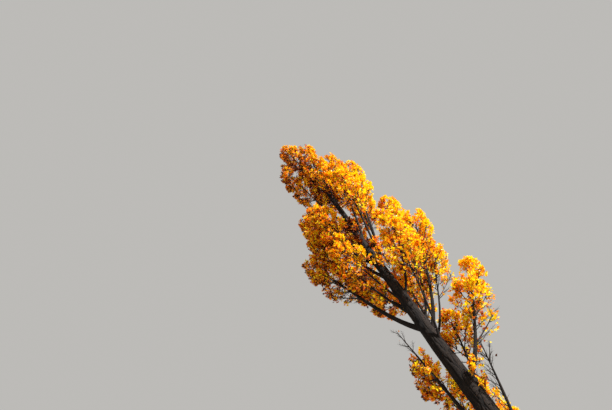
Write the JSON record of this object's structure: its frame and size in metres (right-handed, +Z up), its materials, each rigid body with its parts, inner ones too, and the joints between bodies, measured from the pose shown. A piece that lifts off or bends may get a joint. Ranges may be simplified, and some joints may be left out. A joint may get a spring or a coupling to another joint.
{
  "type": "poplar tree",
  "caption": "Tall narrow poplar in gold autumn leaf: a straight trunk with a flared foot, steep upswept boughs and long leafy masses close round it.",
  "frame": {"origin": "middle of the flat cut under the trunk, at ground level", "axes": "+Z up along the trunk, -Y towards the viewer, +X to the viewer's right"},
  "size_m": [4.2356, 3.3998, 21.9949],
  "materials": {
    "bark": "rough, furrowed",
    "leaf_lemon": "matte, thin",
    "leaf_gold": "matte, thin",
    "leaf_amber": "matte, thin",
    "leaf_orange": "matte, thin",
    "leaf_russet": "matte, thin"
  },
  "bodies": {
    "root": {"trunk": "bark", "bough_low_right": "bark", "bough_low_left": "bark", "bough_low_back": "bark", "bough_low_front": "bark", "bough_low_back_left": "bark", "bough_right_low": "bark", "bough_right_low_inner": "bark", "bough_left_fork": "bark", "bough_left_middle": "bark", "bough_right_fork": "bark", "bough_right_fork_outer": "bark", "bough_back_fork": "bark", "bough_back_left": "bark", "bough_back_right": "bark", "bough_front_left": "bark", "bough_front_right": "bark", "bough_right_inner": "bark", "bough_left_upper": "bark", "bough_back_upper": "bark", "bough_back_right_upper": "bark", "bough_back_left_upper": "bark", "bough_right_upper": "bark", "bough_front_right_upper": "bark", "bough_front_left_upper": "bark", "bough_top_right": "bark", "bough_top_left": "bark", "bough_top_back": "bark", "bough_top_front": "bark", "leaves_low_right": "leaf_lemon", "leaves_low_left": "leaf_russet", "leaves_low_back": "leaf_amber", "leaves_low_front": "leaf_russet", "leaves_low_back_left": "leaf_russet", "leaves_right_low": "leaf_lemon", "leaves_right_low_inner": "leaf_lemon", "leaves_left_fork": "leaf_russet", "leaves_left_middle": "leaf_russet", "leaves_right_fork": "leaf_lemon", "leaves_right_fork_outer": "leaf_lemon", "leaves_back_fork": "leaf_gold", "leaves_back_left": "leaf_orange", "leaves_back_right": "leaf_lemon", "leaves_front_left": "leaf_russet", "leaves_front_right": "leaf_lemon", "leaves_right_inner": "leaf_lemon", "leaves_left_upper": "leaf_russet", "leaves_back_upper": "leaf_amber", "leaves_back_right_upper": "leaf_gold", "leaves_back_left_upper": "leaf_russet", "leaves_right_upper": "leaf_lemon", "leaves_front_right_upper": "leaf_lemon", "leaves_front_left_upper": "leaf_russet", "leaves_top_right": "leaf_lemon", "leaves_top_left": "leaf_russet", "leaves_top_back": "leaf_amber", "leaves_top_front": "leaf_gold", "leaves_tuft_right": "leaf_lemon", "leaves_tuft_middle": "leaf_lemon", "leaves_top": "leaf_russet"}
  },
  "joints": []
}
